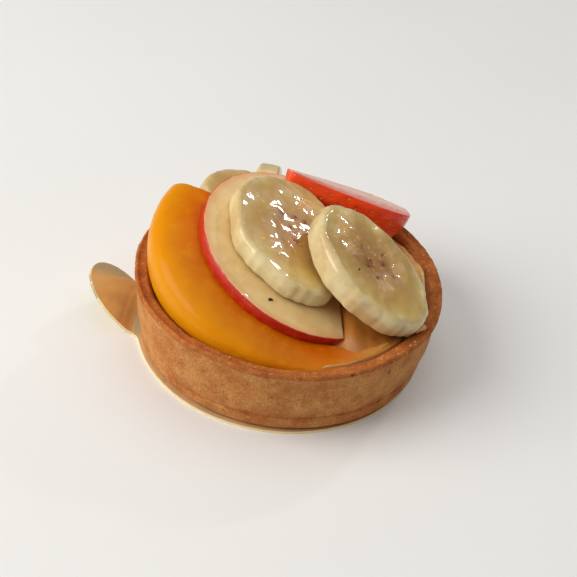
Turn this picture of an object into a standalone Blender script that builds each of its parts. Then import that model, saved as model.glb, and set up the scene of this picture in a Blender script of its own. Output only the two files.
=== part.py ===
"""Fruit tart: a shortcrust shell on a gold card with a pull tab, filled with pastry cream and topped with
glazed fruit that is shingled down towards +X. Metres, +Z up, the tart's axis on Z and the card's underside
on Z = 0."""

import math

import bmesh
import bpy
from mathutils import Matrix, Vector, noise

# Card
CARD_RADIUS = 0.0379
CARD_SHIFT = Vector((-0.0009, -0.0002, 0.0))
CARD_THICKNESS = 0.0008
TAB_HALF_WIDTH = 0.0093
TAB_LENGTH = 0.0170
TAB_FOLD_RADIUS = 0.0394
TAB_ANGLE = math.radians(45)

# Shell
GAP = 0.0003
RIM_RADIUS = 0.0400
RIM_WIDTH = 0.0040
BASE_RADIUS = 0.0379
SHELL_TOP = 0.0213
SHELL_BOTTOM = CARD_THICKNESS + GAP
SHELL_FLOOR = 0.0042
SHELL_STEPS = 72

# Cream
CREAM_EDGE = 0.0178
CREAM_SHOULDER = 0.0225
CREAM_FLAT_RADIUS = 0.0190
CREAM_STEPS = 44

# Fruit: every slice leans by TILT, downhill along HEADING
TILT = math.radians(22.3)
HEADING = math.radians(-13.7)
APPLE_CENTRE = Vector((0.0024, -0.0004, 0.0280))
APPLE_RADIUS = 0.0275
APPLE_THICKNESS = 0.0033
APPLE_CHORD = 0.0094
APPLE_CHORD_ANGLE = math.radians(25)

PEACH_START = math.radians(160)
PEACH_END = math.radians(322)
PEACH_OUTER = 0.0367
PEACH_INNER = 0.0200
PEACH_FOOT = 0.0176
PEACH_LOW = 0.0196
PEACH_RIDGE = 0.0250
PEACH_FALL_X = 0.255
PEACH_FALL_Y = 0.09

STRAWBERRY_LENGTH = 0.0355
STRAWBERRY_RADIUS = 0.0117

CUTTER_SWELL = 0.0004


def material(name, colour, roughness, metallic=0.0):
    made = bpy.data.materials.new(name)
    made.use_nodes = True
    shader = made.node_tree.nodes["Principled BSDF"]
    shader.inputs["Base Color"].default_value = (*colour, 1.0)
    shader.inputs["Roughness"].default_value = roughness
    shader.inputs["Metallic"].default_value = metallic
    return made


def finish(name, mesh_data, look, collection, smooth_angle=math.radians(40)):
    """Turns a bmesh into a named object in the collection, with its normals out and smooth shading."""
    bmesh.ops.remove_doubles(mesh_data, verts=mesh_data.verts, dist=1e-6)
    bmesh.ops.recalc_face_normals(mesh_data, faces=mesh_data.faces)
    mesh = bpy.data.meshes.new(name)
    mesh_data.to_mesh(mesh)
    mesh_data.free()
    mesh.shade_smooth()
    mesh.set_sharp_from_angle(angle=smooth_angle)
    mesh.materials.append(look)
    made = bpy.data.objects.new(name, mesh)
    collection.objects.link(made)
    return made


def leaning(centre, tilt, heading, turn=0.0):
    """The placement of a slice: local Z is its normal, and local X points downhill before the turn."""
    return (
        Matrix.Translation(centre)
        @ Matrix.Rotation(heading, 4, "Z")
        @ Matrix.Rotation(tilt, 4, "Y")
        @ Matrix.Rotation(turn, 4, "Z")
    )


def smooth_between(low, high, value):
    share = min(max((value - low) / (high - low), 0.0), 1.0)
    return share * share * (3 - 2 * share)


# Card


def make_card(collection):
    """A round card with a tongue that is folded up along a line beside the tart."""
    half_angle = math.asin(TAB_HALF_WIDTH / CARD_RADIUS)
    rim_steps = 64
    tip_steps = 14
    first = math.pi + half_angle
    sweep = 2 * (math.pi - half_angle)
    outline = []
    for step in range(rim_steps + 1):
        angle = first + sweep * step / rim_steps
        outline.append((CARD_RADIUS * math.cos(angle), CARD_RADIUS * math.sin(angle)))
    tip_reach = TAB_LENGTH * 0.75
    tip_start = TAB_FOLD_RADIUS + TAB_LENGTH - tip_reach
    for step in range(tip_steps + 1):
        angle = math.pi / 2 - math.pi * step / tip_steps
        outline.append((-tip_start - tip_reach * math.cos(angle), TAB_HALF_WIDTH * math.sin(angle)))

    shape = bmesh.new()
    points = [shape.verts.new((x, y, 0.0)) for x, y in outline]
    shape.faces.new(points)
    corners = [points[0], points[rim_steps]]
    bmesh.ops.bevel(shape, geom=corners, offset=0.003, segments=3, profile=0.5, affect="VERTICES", material=-1)
    fold_steps = 4
    fold_width = 0.003
    for step in range(fold_steps + 1):
        x = -TAB_FOLD_RADIUS + fold_width * (0.5 - step / fold_steps)
        everything = shape.verts[:] + shape.edges[:] + shape.faces[:]
        bmesh.ops.bisect_plane(shape, geom=everything, plane_co=(x, 0, 0), plane_no=(1, 0, 0), dist=1e-6)
    fold_radius = fold_width / TAB_ANGLE
    for point in shape.verts:
        beyond = -TAB_FOLD_RADIUS + fold_width / 2 - point.co.x
        if beyond <= 0:
            continue
        bent = min(beyond, fold_width)
        straight = beyond - bent
        angle = bent / fold_radius
        point.co.x = (
            -TAB_FOLD_RADIUS + fold_width / 2
            - fold_radius * math.sin(angle)
            - straight * math.cos(angle)
        )
        point.co.z = fold_radius * (1 - math.cos(angle)) + straight * math.sin(angle)
    card = finish("gold_card", shape, material("gold card", (0.72, 0.49, 0.20), 0.22, 1.0), collection)
    thickness = card.modifiers.new("thickness", "SOLIDIFY")
    thickness.thickness = CARD_THICKNESS
    thickness.offset = 1.0 if card.data.polygons[0].normal.z > 0 else -1.0
    thickness.use_even_offset = True
    card.data.transform(Matrix.Translation(CARD_SHIFT))
    return card


# Shell


def shell_profile():
    """The shell's section as (radius, height), from the middle of its underside round to its floor."""
    wall_foot = SHELL_BOTTOM + 0.0030
    inner = RIM_RADIUS - RIM_WIDTH
    return [
        (0.0, SHELL_BOTTOM),
        (BASE_RADIUS - 0.0012, SHELL_BOTTOM),
        (BASE_RADIUS - 0.0002, SHELL_BOTTOM + 0.0006),
        (BASE_RADIUS + 0.0002, wall_foot - 0.0008),
        (BASE_RADIUS - 0.0004, wall_foot),
        (BASE_RADIUS + 0.0004, wall_foot + 0.0008),
        (BASE_RADIUS + 0.0012, SHELL_TOP * 0.45),
        (RIM_RADIUS - 0.0006, SHELL_TOP - 0.0042),
        (RIM_RADIUS - 0.0001, SHELL_TOP - 0.0016),
        (RIM_RADIUS, SHELL_TOP - 0.0006),
        (RIM_RADIUS - 0.0005, SHELL_TOP),
        (RIM_RADIUS - 0.0014, SHELL_TOP - 0.0003),
        (inner + 0.0010, SHELL_TOP - 0.0005),
        (inner + 0.0002, SHELL_TOP - 0.0013),
        (inner - 0.0004, SHELL_TOP - 0.0035),
        (inner - 0.0016, SHELL_FLOOR + 0.0012),
        (inner - 0.0028, SHELL_FLOOR),
        (0.0, SHELL_FLOOR),
    ]


def make_shell(collection):
    """The baked case: a turned section, uneven round its rim and in the height of its seam."""
    shape = bmesh.new()
    points = [shape.verts.new((radius, 0, height)) for radius, height in shell_profile()]
    for start, end in zip(points, points[1:]):
        shape.edges.new((start, end))
    bmesh.ops.spin(
        shape, geom=shape.verts[:] + shape.edges[:], cent=(0, 0, 0), axis=(0, 0, 1),
        angle=2 * math.pi, steps=SHELL_STEPS, use_merge=True,
    )
    bmesh.ops.remove_doubles(shape, verts=shape.verts, dist=1e-6)
    for point in shape.verts:
        radius = math.hypot(point.co.x, point.co.y)
        if radius < BASE_RADIUS * 0.8:
            continue
        angle = math.atan2(point.co.y, point.co.x)
        ring = Vector((math.cos(angle), math.sin(angle), 0))
        height = smooth_between(SHELL_BOTTOM, SHELL_TOP, point.co.z)
        bulge = noise.noise(ring * 2.6 + Vector((0, 0, point.co.z * 60)))
        point.co += ring * bulge * 0.0004 * height
        point.co.z += noise.noise(ring * 3.4 + Vector((7, 0, 0))) * 0.0005 * height * height
        seam = smooth_between(SHELL_BOTTOM, SHELL_BOTTOM + 0.0025, point.co.z)
        seam *= 1 - smooth_between(SHELL_BOTTOM + 0.0040, SHELL_TOP * 0.6, point.co.z)
        if radius > RIM_RADIUS - RIM_WIDTH:
            point.co.z += 0.0016 * seam * smooth_between(-0.2, 1.0, math.cos(angle - math.radians(315)))
    return finish("pastry_shell", shape, material("shortcrust", (0.50, 0.26, 0.09), 0.75), collection)


# Cream


def cream_height(x, y):
    """The mound under the fruit: it follows the apple's lean and is higher again beyond its cut edge."""
    along_x = x - APPLE_CENTRE.x
    along_y = y - APPLE_CENTRE.y
    lean = along_x * math.cos(HEADING) + along_y * math.sin(HEADING)
    under_apple = APPLE_CENTRE.z - lean * math.tan(TILT) - APPLE_THICKNESS / math.cos(TILT) - 0.0008
    chord = HEADING + APPLE_CHORD_ANGLE
    beyond = along_x * math.cos(chord) + along_y * math.sin(chord) - APPLE_CHORD
    shoulder = smooth_between(0.0, 0.005, beyond)
    level = under_apple * (1 - shoulder) + CREAM_SHOULDER * shoulder
    fade = smooth_between(CREAM_FLAT_RADIUS, RIM_RADIUS - RIM_WIDTH - 0.0019, math.hypot(x, y))
    return level * (1 - fade) + CREAM_EDGE * fade


def make_cream(collection):
    """The filling: it fits the shell and is heaped under the fruit."""
    inner = RIM_RADIUS - RIM_WIDTH
    foot = SHELL_FLOOR + GAP
    edge_radius = inner - 0.0019
    section = [
        (0.0, foot),
        (inner - 0.0034, foot),
        (inner - 0.0024, foot + 0.0012),
        (inner - 0.0014, CREAM_EDGE - 0.0008),
        (edge_radius, CREAM_EDGE),
    ]
    top_rings = 8
    section += [(edge_radius * (1 - ring / top_rings), CREAM_EDGE) for ring in range(1, top_rings + 1)]
    shape = bmesh.new()
    points = [shape.verts.new((radius, 0, height)) for radius, height in section]
    for start, end in zip(points, points[1:]):
        shape.edges.new((start, end))
    bmesh.ops.spin(
        shape, geom=shape.verts[:] + shape.edges[:], cent=(0, 0, 0), axis=(0, 0, 1),
        angle=2 * math.pi, steps=CREAM_STEPS, use_merge=True,
    )
    for point in shape.verts:
        if point.co.z > CREAM_EDGE - 0.0001:
            point.co.z = cream_height(point.co.x, point.co.y)
    return finish("cream_filling", shape, material("pastry cream", (0.72, 0.52, 0.25), 0.45), collection)


# Fruit


def make_apple(collection):
    """A half-moon slice: an arc of skin and a straight cut edge, which lies under the banana."""
    shape = bmesh.new()
    bmesh.ops.create_cone(
        shape, cap_ends=True, segments=64, radius1=APPLE_RADIUS - 0.0003, radius2=APPLE_RADIUS,
        depth=APPLE_THICKNESS, matrix=Matrix.Translation((0, 0, -APPLE_THICKNESS / 2)),
    )
    direction = Vector((math.cos(APPLE_CHORD_ANGLE), math.sin(APPLE_CHORD_ANGLE), 0))
    everything = shape.verts[:] + shape.edges[:] + shape.faces[:]
    cut = bmesh.ops.bisect_plane(
        shape, geom=everything, plane_co=direction * APPLE_CHORD, plane_no=direction, clear_outer=True,
    )
    rim = [part for part in cut["geom_cut"] if isinstance(part, bmesh.types.BMEdge)]
    bmesh.ops.edgeloop_fill(shape, edges=rim)
    edges = [
        edge for edge in shape.edges
        if edge.calc_face_angle(0) > math.radians(60) and abs(edge.verts[0].co.z - edge.verts[1].co.z) < 1e-5
    ]
    bmesh.ops.bevel(
        shape, geom=edges, offset=0.0005, segments=2, profile=0.5, affect="EDGES", clamp_overlap=True,
        material=-1,
    )
    bmesh.ops.transform(shape, matrix=leaning(APPLE_CENTRE, TILT, HEADING), verts=shape.verts)
    return finish("apple_slice", shape, material("apple flesh", (0.78, 0.56, 0.24), 0.3), collection)


def banana_shape(half_length, half_width, thickness, seed):
    """A slice with its cut face on local Z = 0: an uneven oval with soft edges and a shallow core."""
    shape = bmesh.new()
    bmesh.ops.create_cone(
        shape, cap_ends=True, segments=40, radius1=1.0, radius2=1.0, depth=thickness,
        matrix=Matrix.Translation((0, 0, -thickness / 2)),
    )
    for point in shape.verts:
        angle = math.atan2(point.co.y, point.co.x)
        wobble = 1 + 0.012 * math.cos(5 * angle + seed) + 0.010 * math.cos(3 * angle - 2 * seed)
        point.co.x *= half_length * wobble
        point.co.y *= half_width * wobble
    top = [face for face in shape.faces if len(face.verts) > 4 and face.calc_center_median().z > -1e-5]
    rims = [edge for edge in shape.edges if edge.calc_face_angle(0) > math.radians(60)]
    for shrink, sink in ((0.62, 0.0), (0.45, 0.0005)):
        bmesh.ops.inset_region(shape, faces=top, thickness=half_width * 0.03)
        middle = list({point for face in top for point in face.verts})
        bmesh.ops.scale(shape, verts=middle, vec=(shrink, shrink, 1))
        bmesh.ops.translate(shape, verts=middle, vec=(0, 0, -sink))
    bmesh.ops.bevel(
        shape, geom=[edge for edge in rims if edge.is_valid], offset=0.0011, segments=2, profile=0.5,
        affect="EDGES", material=-1,
    )
    return shape


def make_banana(name, placement, half_length, half_width, thickness, seed, look, collection):
    shape = banana_shape(half_length, half_width, thickness, seed)
    bmesh.ops.transform(shape, matrix=placement, verts=shape.verts)
    return finish(name, shape, look, collection)


def peach_section(angle):
    """The slice's section at an angle round the tart, as (radius, height) pairs from its inner foot."""
    x = 0.033 * math.cos(angle)
    y = 0.033 * math.sin(angle)
    share = (angle - PEACH_START) / (PEACH_END - PEACH_START)
    narrow = smooth_between(0.62, 1.0, share)
    ridge = max(PEACH_RIDGE - PEACH_FALL_X * x + PEACH_FALL_Y * y, PEACH_LOW)
    ridge = ridge * (1 - narrow) + (PEACH_LOW - 0.0004) * narrow
    outer = PEACH_OUTER - 0.0012 * narrow
    inner = PEACH_INNER + (outer - 0.0035 - PEACH_INNER) * narrow
    rise = 0.0018 * (1 - narrow)
    ridge += 0.0004 * (1 - smooth_between(0.0, 0.25, share))
    tall = ridge - PEACH_FOOT
    wide = outer - inner
    proud = 0.0005 * smooth_between(0.024, 0.030, ridge)
    return [
        (inner, PEACH_FOOT),
        (outer - 0.12 * wide, PEACH_FOOT),
        (outer - 0.0003, PEACH_FOOT + 0.18 * tall),
        (outer + proud, PEACH_FOOT + 0.55 * tall),
        (outer - 0.0004 + proud, PEACH_FOOT + 0.92 * tall),
        (outer - 0.18 * wide, PEACH_FOOT + 1.10 * tall),
        ((inner + outer) / 2, ridge + rise),
        (inner + 0.04 * wide, ridge + rise),
        (inner - 0.0006, PEACH_FOOT + 0.5 * tall),
    ]


def make_peach(collection):
    """A crescent slice loft along the rim, high at its cut end and thin at its far tip."""
    shape = bmesh.new()
    stations = 16
    rings = []
    for station in range(stations + 1):
        angle = PEACH_START + (PEACH_END - PEACH_START) * station / stations
        turn = Matrix.Rotation(angle, 4, "Z")
        ring = [shape.verts.new(turn @ Vector((radius, 0, height))) for radius, height in peach_section(angle)]
        rings.append(ring)
    for ring in rings:
        for start, end in zip(ring, ring[1:] + ring[:1]):
            shape.edges.new((start, end))
    for before, after in zip(rings, rings[1:]):
        count = len(before)
        edges = []
        for ring in (before, after):
            edges += [shape.edges.get((ring[i], ring[(i + 1) % count])) for i in range(count)]
        bmesh.ops.bridge_loops(shape, edges=edges)
    shape.faces.new(rings[0])
    shape.faces.new(rings[-1])
    peach = finish("peach_slice", shape, material("peach flesh", (0.68, 0.28, 0.02), 0.2), collection)
    soft = peach.modifiers.new("soft form", "SUBSURF")
    soft.levels = 1
    soft.render_levels = 1
    return peach


def strawberry_radius(share):
    """The berry's radius along its length: a blunt tip, a wide shoulder and a round stem end."""
    return STRAWBERRY_RADIUS * 1.16 * (0.10 + 0.9 * share) ** 0.62 * math.sqrt(max(1 - share ** 7, 0.0))


def make_strawberry(placement, collection):
    """Half a berry, cut lengthwise: local X is its axis from the tip, and local Z its cut face's normal."""
    shape = bmesh.new()
    steps = 12
    points = [shape.verts.new((0, 0, 0))]
    for step in range(steps + 1):
        share = 1 - (1 - step / steps) ** 1.3 if step else 0.0
        share = min(share, 0.995)
        points.append(shape.verts.new((STRAWBERRY_LENGTH * share, strawberry_radius(share), 0)))
    points.append(shape.verts.new((STRAWBERRY_LENGTH * 0.985, 0, 0)))
    for start, end in zip(points, points[1:]):
        shape.edges.new((start, end))
    bmesh.ops.spin(
        shape, geom=shape.verts[:] + shape.edges[:], cent=(0, 0, 0), axis=(1, 0, 0),
        angle=-math.pi, steps=14,
    )
    bmesh.ops.remove_doubles(shape, verts=shape.verts, dist=1e-6)
    bmesh.ops.edgeloop_fill(shape, edges=[edge for edge in shape.edges if edge.is_boundary])
    bmesh.ops.transform(shape, matrix=placement, verts=shape.verts)
    return finish("strawberry_half", shape, material("strawberry", (0.52, 0.04, 0.02), 0.25), collection)


# Fitting together


def fit_under(lower, uppers, cutters):
    """Hollows a piece where others lie on it, so that a thin gap is left between them."""
    for upper in uppers:
        name = f"{upper.name}_cutter"
        cutter = bpy.data.objects.get(name)
        if cutter is None:
            cutter = bpy.data.objects.new(name, upper.data.copy())
            cutters.objects.link(cutter)
            facets = cutter.modifiers.new("facets", "TRIANGULATE")
            facets.min_vertices = 5
            for source in upper.modifiers:
                if source.type == "SUBSURF":
                    copy = cutter.modifiers.new(source.name, "SUBSURF")
                    copy.levels = source.levels
                    copy.render_levels = source.render_levels
            swell = cutter.modifiers.new("swell", "DISPLACE")
            swell.strength = CUTTER_SWELL
            swell.mid_level = 0.0
            cutter.hide_render = True
            cutter.display_type = "WIRE"
        hollow = lower.modifiers.new(f"under {upper.name}", "BOOLEAN")
        hollow.operation = "DIFFERENCE"
        hollow.solver = "EXACT"
        hollow.object = cutter


def main():
    for old in list(bpy.data.objects):
        bpy.data.objects.remove(old, do_unlink=True)
    tart = bpy.data.collections.new("fruit_tart")
    cutters = bpy.data.collections.new("cutters")
    bpy.context.scene.collection.children.link(tart)
    bpy.context.scene.collection.children.link(cutters)

    make_card(tart)
    shell = make_shell(tart)
    cream = make_cream(tart)
    peach = make_peach(tart)
    apple = make_apple(tart)

    flesh = material("banana flesh", (0.72, 0.53, 0.25), 0.3)
    on_apple = leaning(APPLE_CENTRE, TILT, HEADING)
    centre_place = on_apple @ Matrix.Translation((-0.0050, -0.0018, 0.0058)) @ Matrix.Rotation(-0.916, 4, "Z")
    centre = make_banana("banana_slice_centre", centre_place, 0.0189, 0.0156, 0.0055, 0.4, flesh, tart)
    right_place = leaning(Vector((0.0203, -0.0085, 0.0342)), math.radians(28), math.radians(-10), -0.49)
    right = make_banana("banana_slice_right", right_place, 0.0182, 0.0136, 0.0070, 1.3, flesh, tart)
    left_place = on_apple @ Matrix.Translation((-0.0185, 0.0095, -0.0037))
    left = make_banana("banana_slice_left", left_place, 0.0125, 0.0125, 0.0060, 2.1, flesh, tart)

    berry_place = leaning(Vector((-0.0034, 0.0199, 0.0385)), math.radians(26), math.radians(55), -0.70)
    berry_roll = Matrix.Rotation(math.radians(-4.5), 4, "X")
    berry = make_strawberry(berry_place @ berry_roll, tart)

    upright = leaning(Vector((-0.0065, 0.0254, 0.0251)), math.radians(90), math.radians(-4))
    back = make_banana("banana_slice_back", upright, 0.0092, 0.0092, 0.0063, 0.9, flesh, tart)

    fit_under(centre, [right, berry], cutters)
    fit_under(apple, [right, berry], cutters)
    fit_under(left, [apple], cutters)
    fit_under(berry, [shell], cutters)
    fit_under(back, [apple, left], cutters)
    fit_under(peach, [apple, left, shell], cutters)
    fit_under(cream, [peach, apple, left, centre, right, back, berry], cutters)


main()
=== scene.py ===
"""Finished look of the fruit tart: baked case, custard, glazed fruit, beads of glaze, seeds and crumbs."""

import math
import random

import bmesh
import bpy
from mathutils import Matrix, Vector, noise


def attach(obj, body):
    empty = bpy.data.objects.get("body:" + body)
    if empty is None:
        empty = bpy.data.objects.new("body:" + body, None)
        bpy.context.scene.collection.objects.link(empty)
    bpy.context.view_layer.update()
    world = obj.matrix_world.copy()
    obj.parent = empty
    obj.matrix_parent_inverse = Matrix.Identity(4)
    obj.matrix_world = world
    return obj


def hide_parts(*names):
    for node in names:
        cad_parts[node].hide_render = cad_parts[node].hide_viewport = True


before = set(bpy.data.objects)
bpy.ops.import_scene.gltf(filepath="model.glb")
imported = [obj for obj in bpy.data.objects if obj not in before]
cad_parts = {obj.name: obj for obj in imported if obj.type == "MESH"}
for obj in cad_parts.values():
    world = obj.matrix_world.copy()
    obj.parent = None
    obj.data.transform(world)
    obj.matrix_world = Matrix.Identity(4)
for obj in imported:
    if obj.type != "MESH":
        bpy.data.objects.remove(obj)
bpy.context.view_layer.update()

MM = 0.001

# Case
RIM_RADIUS = 0.0400
RIM_WIDTH = 0.0040
BASE_RADIUS = 0.0379
CASE_FLOOR = 0.0042
CASE_BOTTOM = 0.0011
CASE_TOP = 0.0213
CASE_STEPS = 400
CASE_INNER = RIM_RADIUS - RIM_WIDTH
WALL_FOOT = CASE_BOTTOM + 0.0030
PIT_SIZE = 0.22

# Custard
CREAM_EDGE = 0.0178
CREAM_SHOULDER = 0.0225
CREAM_FLAT_RADIUS = 0.0190

# Fruit
TILT = math.radians(22.3)
HEADING = math.radians(-13.7)
APPLE_CENTRE = Vector((0.0024, -0.0004, 0.0280))
APPLE_RADIUS = 0.0275
APPLE_THICKNESS = 0.0033
APPLE_CHORD = 0.0094
APPLE_CHORD_ANGLE = math.radians(25)

PEACH_START = math.radians(160)
PEACH_END = math.radians(322)
PEACH_OUTER = 0.0367
PEACH_INNER = 0.0200
PEACH_FOOT = 0.0176
PEACH_LOW = 0.0196
PEACH_RIDGE = 0.0250
PEACH_FALL_X = 0.255
PEACH_FALL_Y = 0.09
PEACH_STATIONS = 26

STRAWBERRY_LENGTH = 0.0355
STRAWBERRY_RADIUS = 0.0117
STRAWBERRY_SEEDS = 150
SEED_TURN = 2.39996  # golden angle, so that the seeds never line up

# Light and camera
LIGHT_DISTANCE = 0.9
WORLD_STRENGTH = 0.20
CAMERA_ELEVATION = math.radians(38.65)
CAMERA_ROLL = math.radians(8)
CAMERA_TARGET = Vector((0.00024, 0, 0.01505))
CAMERA_DISTANCE = 0.28
CAMERA_LENS = 66.41


# ---------------------------------------------------------------- helpers


def tone(red, green, blue):
    """A display colour from 0 to 255 as a linear RGBA."""
    out = []
    for part in (red, green, blue):
        share = part / 255
        out.append(share / 12.92 if share <= 0.04045 else ((share + 0.055) / 1.055) ** 2.4)
    return (*out, 1.0)


def smooth_between(low, high, value):
    share = min(max((value - low) / (high - low), 0.0), 1.0)
    return share * share * (3 - 2 * share)


def leaning(centre, tilt, heading, turn=0.0):
    """The placement of a slice: local Z is its normal, and local X points downhill before the turn."""
    return (
        Matrix.Translation(centre)
        @ Matrix.Rotation(heading, 4, "Z")
        @ Matrix.Rotation(tilt, 4, "Y")
        @ Matrix.Rotation(turn, 4, "Z")
    )


ON_APPLE = leaning(APPLE_CENTRE, TILT, HEADING)


def turned(section, steps, axis="Z", cuts=0):
    """A closed body of revolution from a section given as (distance from the axis, place along it)."""
    shape = bmesh.new()
    if axis == "Z":
        points = [shape.verts.new((out, 0, along)) for out, along in section]
        direction = (0, 0, 1)
    else:
        points = [shape.verts.new((along, out, 0)) for out, along in section]
        direction = (1, 0, 0)
    edges = [shape.edges.new(pair) for pair in zip(points, points[1:])]
    if cuts:
        bmesh.ops.subdivide_edges(shape, edges=edges, cuts=cuts)
    bmesh.ops.spin(
        shape, geom=shape.verts[:] + shape.edges[:], cent=(0, 0, 0), axis=direction,
        angle=2 * math.pi, steps=steps, use_merge=True,
    )
    bmesh.ops.remove_doubles(shape, verts=shape.verts, dist=1e-7)
    bmesh.ops.recalc_face_normals(shape, faces=shape.faces)
    return shape


def piece(name, shape, look, slot, *nodes):
    """Makes a bmesh a finished piece that rides on the tart and stands for the given nodes."""
    bmesh.ops.recalc_face_normals(shape, faces=shape.faces)
    mesh = bpy.data.meshes.new(name)
    shape.to_mesh(mesh)
    shape.free()
    mesh.materials.append(look)
    mesh.shade_smooth()
    made = bpy.data.objects.new(name, mesh)
    bpy.context.scene.collection.objects.link(made)
    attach(made, "root")
    if nodes:
        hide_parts(*nodes)
    return made


def settled(shape, levels):
    """The shape after subdivision, as a new bmesh."""
    mesh = bpy.data.meshes.new("cage")
    shape.to_mesh(mesh)
    shape.free()
    cage = bpy.data.objects.new("cage", mesh)
    bpy.context.scene.collection.objects.link(cage)
    soft = cage.modifiers.new("soft form", "SUBSURF")
    soft.levels = levels
    soft.render_levels = levels
    bpy.context.view_layer.update()
    finished = bpy.data.meshes.new_from_object(cage.evaluated_get(bpy.context.evaluated_depsgraph_get()))
    out = bmesh.new()
    out.from_mesh(finished)
    bpy.data.objects.remove(cage)
    bpy.data.meshes.remove(mesh)
    bpy.data.meshes.remove(finished)
    return out


# ---------------------------------------------------------------- shader groups


def node_group(name, inputs, outputs):
    tree = bpy.data.node_groups.new(name, "ShaderNodeTree")
    for label, kind, start in inputs:
        socket = tree.interface.new_socket(name=label, in_out="INPUT", socket_type=f"NodeSocket{kind}")
        if start is not None:
            socket.default_value = start
    for label, kind in outputs:
        tree.interface.new_socket(name=label, in_out="OUTPUT", socket_type=f"NodeSocket{kind}")
    return tree, tree.nodes.new("NodeGroupInput"), tree.nodes.new("NodeGroupOutput")


def add(tree, kind, **values):
    """Adds a node; values name its properties or its input sockets, with _ for a space in a socket's name."""
    made = tree.nodes.new(kind)
    for key, value in values.items():
        if hasattr(made, key) and not key[0].isupper():
            setattr(made, key, value)
        else:
            made.inputs[key.replace("_", " ")].default_value = value
    return made


def mixing(tree, share, first, second):
    """A colour mix of two sockets or colours by a socket or number."""
    mix = tree.nodes.new("ShaderNodeMix")
    mix.data_type = "RGBA"
    for socket, value in ((mix.inputs[0], share), (mix.inputs[6], first), (mix.inputs[7], second)):
        if isinstance(value, bpy.types.NodeSocket):
            tree.links.new(value, socket)
        else:
            socket.default_value = value
    return mix.outputs[2]


def sums(tree, operation, first, second, third=None):
    """A math node on sockets or numbers."""
    made = tree.nodes.new("ShaderNodeMath")
    made.operation = operation
    for socket, value in zip(made.inputs, (first, second, third)):
        if value is None:
            continue
        if isinstance(value, bpy.types.NodeSocket):
            tree.links.new(value, socket)
        else:
            socket.default_value = value
    return made.outputs[0]


def ramped(tree, value, low, high, out_low=0.0, out_high=1.0):
    """A smooth step of a value between two limits."""
    made = tree.nodes.new("ShaderNodeMapRange")
    made.interpolation_type = "SMOOTHSTEP"
    tree.links.new(value, made.inputs["Value"])
    for label, number in (("From Min", low), ("From Max", high), ("To Min", out_low), ("To Max", out_high)):
        if isinstance(number, bpy.types.NodeSocket):
            tree.links.new(number, made.inputs[label])
        else:
            made.inputs[label].default_value = number
    return made.outputs["Result"]


def make_mottle_group():
    """Soft patches of a second colour."""
    tree, start, end = node_group(
        "mottle",
        [
            ("Vector", "Vector", None),
            ("Scale", "Float", 100.0),
            ("Low", "Float", 0.4),
            ("High", "Float", 0.7),
            ("Amount", "Float", 1.0),
            ("First", "Color", (1, 1, 1, 1)),
            ("Second", "Color", (0, 0, 0, 1)),
        ],
        [("Color", "Color"), ("Mask", "Float")],
    )
    cloud = add(tree, "ShaderNodeTexNoise", Detail=4.0, Roughness=0.6)
    tree.links.new(start.outputs["Vector"], cloud.inputs["Vector"])
    tree.links.new(start.outputs["Scale"], cloud.inputs["Scale"])
    mask = ramped(tree, cloud.outputs[0], start.outputs["Low"], start.outputs["High"])
    mask = sums(tree, "MULTIPLY", mask, start.outputs["Amount"])
    colour = mixing(tree, mask, start.outputs["First"], start.outputs["Second"])
    tree.links.new(colour, end.inputs["Color"])
    tree.links.new(mask, end.inputs["Mask"])
    return tree


def make_speckle_group():
    """Small separate dots, in only a share of the cells."""
    tree, start, end = node_group(
        "speckle",
        [
            ("Vector", "Vector", None),
            ("Scale", "Float", 400.0),
            ("Size", "Float", 0.2),
            ("Share", "Float", 0.3),
        ],
        [("Mask", "Float")],
    )
    warp = add(tree, "ShaderNodeTexNoise", Scale=900.0, Detail=2.0)
    tree.links.new(start.outputs["Vector"], warp.inputs["Vector"])
    shift = tree.nodes.new("ShaderNodeVectorMath")
    shift.operation = "MULTIPLY_ADD"
    tree.links.new(warp.outputs["Color"], shift.inputs[0])
    shift.inputs[1].default_value = (0.0012, 0.0012, 0.0012)
    tree.links.new(start.outputs["Vector"], shift.inputs[2])
    cells = tree.nodes.new("ShaderNodeTexVoronoi")
    tree.links.new(shift.outputs[0], cells.inputs["Vector"])
    tree.links.new(start.outputs["Scale"], cells.inputs["Scale"])
    split = tree.nodes.new("ShaderNodeSeparateColor")
    tree.links.new(cells.outputs["Color"], split.inputs[0])
    chosen = sums(tree, "LESS_THAN", split.outputs[0], start.outputs["Share"])
    reach = sums(tree, "MULTIPLY", split.outputs[1], start.outputs["Size"])
    reach = sums(tree, "ADD", reach, sums(tree, "MULTIPLY", start.outputs["Size"], 0.4))
    inside = sums(tree, "MULTIPLY", reach, 0.6)
    dot = ramped(tree, cells.outputs["Distance"], inside, reach, 1.0, 0.0)
    tree.links.new(sums(tree, "MULTIPLY", dot, chosen), end.inputs["Mask"])
    return tree


def make_relief_group():
    """Two sizes of unevenness as one height."""
    tree, start, end = node_group(
        "relief",
        [
            ("Vector", "Vector", None),
            ("Fine Scale", "Float", 1500.0),
            ("Fine", "Float", 0.5),
            ("Coarse Scale", "Float", 300.0),
            ("Coarse", "Float", 0.5),
        ],
        [("Height", "Float")],
    )
    heights = []
    for size in ("Fine", "Coarse"):
        cloud = add(tree, "ShaderNodeTexNoise", Detail=3.0)
        tree.links.new(start.outputs["Vector"], cloud.inputs["Vector"])
        tree.links.new(start.outputs[f"{size} Scale"], cloud.inputs["Scale"])
        heights.append(sums(tree, "MULTIPLY", cloud.outputs[0], start.outputs[size]))
    tree.links.new(sums(tree, "ADD", *heights), end.inputs["Height"])
    return tree


MOTTLE = make_mottle_group()
SPECKLE = make_speckle_group()
RELIEF = make_relief_group()


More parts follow.
